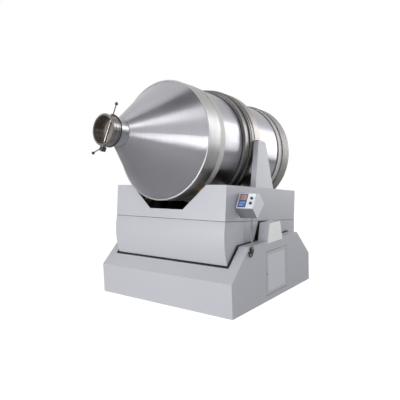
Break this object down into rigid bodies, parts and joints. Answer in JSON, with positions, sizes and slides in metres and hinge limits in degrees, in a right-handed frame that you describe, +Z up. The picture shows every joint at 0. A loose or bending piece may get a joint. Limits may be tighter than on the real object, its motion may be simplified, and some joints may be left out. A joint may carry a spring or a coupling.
{
  "type": "two-dimensional motion mixer",
  "caption": "Food mixer whose round steel drum turns on support wheels while the casing that carries it rocks end to end on a sheet-covered base with a control console.",
  "frame": {"origin": "middle of the base's bottom edge on the floor, between the four anchor holes, under the rocking axis", "axes": "+X to the console's side, the right as one faces the mouth, +Y to the drum's closed rear end, so the mouth is towards -Y, and +Z up"},
  "size_m": [1.7749, 2.5431, 2.1936],
  "materials": {
    "painted_sheet": "light grey satin paint",
    "drum_steel": "brushed",
    "ring_steel": "turned",
    "track": "matt, worn by the wheels",
    "wheel": "matt",
    "frame_paint": "matt dark paint",
    "motor_paint": "satin paint",
    "shaft_steel": "turned",
    "fastener": "bright zinc",
    "bearing_iron": "painted",
    "chain_steel": "oiled",
    "valve_steel": "cast and turned",
    "lever_steel": "satin black",
    "gasket": "matt",
    "panel_face": "glossy film",
    "screen_frame": "glossy",
    "screen_warm": "glossy",
    "screen_blue": "glossy",
    "knob_plastic": "matt",
    "conduit": "matt",
    "post_steel": "satin"
  },
  "bodies": {
    "root": {"base_frame": "frame_paint", "base_cover": "painted_sheet", "right_tower_cover": "painted_sheet", "left_tower_cover": "painted_sheet", "pivot_bearings": "bearing_iron", "pivot_bearing_bolts": "fastener", "swing_gearbox": "motor_paint", "swing_motor": "motor_paint", "console_post": "post_steel", "console_bracket": "shaft_steel", "console_box": "painted_sheet", "console_panel": "panel_face", "screen_bezel": "screen_frame", "upper_display": "screen_warm", "lower_display": "screen_blue", "console_conduit": "conduit", "conduit_gland": "conduit"},
    "door": {"service_door": "painted_sheet"},
    "latch": {"door_latch": "fastener"},
    "speed_knob": {"speed_knob": "knob_plastic"},
    "selector_knob": {"selector_knob": "knob_plastic"},
    "crank": {"swing_crank": "shaft_steel"},
    "rod": {"connecting_rod": "shaft_steel"},
    "swing": {"swing_frame": "frame_paint", "upper_casing": "painted_sheet", "front_skirt": "painted_sheet", "rear_skirt": "painted_sheet", "right_post": "painted_sheet", "left_post": "painted_sheet", "arch_guard": "ring_steel", "arch_bolts": "fastener", "trunnions": "shaft_steel", "wheel_bearings": "bearing_iron", "wheel_bearing_bolts": "fastener", "rod_pin": "shaft_steel", "drum_gearbox": "motor_paint", "drum_motor": "motor_paint", "drive_chain": "chain_steel", "thrust_pins": "shaft_steel"},
    "drive": {"drive_shaft": "shaft_steel", "drive_wheels": "wheel", "large_sprocket": "chain_steel"},
    "idle": {"idle_shaft": "shaft_steel", "idle_wheels": "wheel"},
    "pinion": {"small_sprocket": "chain_steel"},
    "front_thrust": {"front_thrust_wheel": "wheel"},
    "rear_thrust": {"rear_thrust_wheel": "wheel"},
    "drum": {"drum_shell": "drum_steel", "front_band": "drum_steel", "rear_band": "drum_steel", "front_track": "track", "rear_track": "track", "centre_ring": "ring_steel", "lifting_blades": "drum_steel", "mouth_gasket": "gasket", "valve_body": "valve_steel"},
    "valve": {"valve_disc": "valve_steel", "valve_stem": "valve_steel", "valve_levers": "lever_steel"}
  },
  "joints": [
    {"name": "swing_rock", "type": "hinge", "parent": "root", "child": "swing", "pos_m": [0, 0, 0.657], "axis": [1, 0, 0], "range_deg": [-6, 18]},
    {"name": "crank_turn", "type": "hinge", "parent": "root", "child": "crank", "pos_m": [0, -0.3, 0.24], "axis": [1, 0, 0], "range_deg": [-45, 135]},
    {"name": "rod_swing", "type": "hinge", "parent": "swing", "child": "rod", "pos_m": [0, -0.30013, 0.67145], "axis": [1, 0, 0], "range_deg": [-18, 6]},
    {"name": "drum_spin", "type": "hinge", "parent": "swing", "child": "drum", "pos_m": [0, 0.09136, 1.52622], "axis": [0, 0.9945, -0.1045], "continuous": true},
    {"name": "drive_spin", "type": "hinge", "parent": "swing", "child": "drive", "pos_m": [-0.41643, 0.03564, 0.99613], "axis": [0, 0.9945, -0.1045], "continuous": true},
    {"name": "idle_spin", "type": "hinge", "parent": "swing", "child": "idle", "pos_m": [0.41643, 0.03564, 0.99613], "axis": [0, 0.9945, -0.1045], "continuous": true},
    {"name": "pinion_spin", "type": "hinge", "parent": "swing", "child": "pinion", "pos_m": [-0.15, 0.33164, 0.65533], "axis": [0, 0.9945, -0.1045], "continuous": true},
    {"name": "front_thrust_spin", "type": "hinge", "parent": "swing", "child": "front_thrust", "pos_m": [0, -0.23402, 0.9551], "axis": [0, 0.1045, 0.9945], "continuous": true},
    {"name": "rear_thrust_spin", "type": "hinge", "parent": "swing", "child": "rear_thrust", "pos_m": [0, 0.01242, 0.92919], "axis": [0, 0.1045, 0.9945], "continuous": true},
    {"name": "valve_turn", "type": "hinge", "parent": "drum", "child": "valve", "pos_m": [0, -1.35766, 1.67852], "axis": [0.3907, 0.0962, 0.9155], "range_deg": [-90, 0]},
    {"name": "door_swing", "type": "hinge", "parent": "root", "child": "door", "pos_m": [0.838, 0.213, 0.2725], "axis": [0, 0, 1], "range_deg": [0, 110]},
    {"name": "latch_turn", "type": "hinge", "parent": "door", "child": "latch", "pos_m": [0.85, -0.167, 0.2725], "axis": [1, 0, 0], "range_deg": [-90, 0]},
    {"name": "speed_knob_turn", "type": "hinge", "parent": "root", "child": "speed_knob", "pos_m": [0.88474, -0.48268, 1.03837], "axis": [0, -0.866, 0.5], "range_deg": [-150, 150]},
    {"name": "selector_knob_turn", "type": "hinge", "parent": "root", "child": "selector_knob", "pos_m": [0.88474, -0.50731, 0.99569], "axis": [0, -0.866, 0.5], "range_deg": [-45, 45]}
  ],
  "couplings": [
    {"joint": "crank_turn", "follows": "swing_rock", "ratio": 7.5},
    {"joint": "rod_swing", "follows": "swing_rock", "ratio": -1},
    {"joint": "drive_spin", "follows": "drum_spin", "ratio": -6.5111},
    {"joint": "idle_spin", "follows": "drum_spin", "ratio": -6.5111},
    {"joint": "pinion_spin", "follows": "drum_spin", "ratio": -12.092},
    {"joint": "front_thrust_spin", "follows": "drum_spin", "ratio": 13.378},
    {"joint": "rear_thrust_spin", "follows": "drum_spin", "ratio": -13.378}
  ]
}
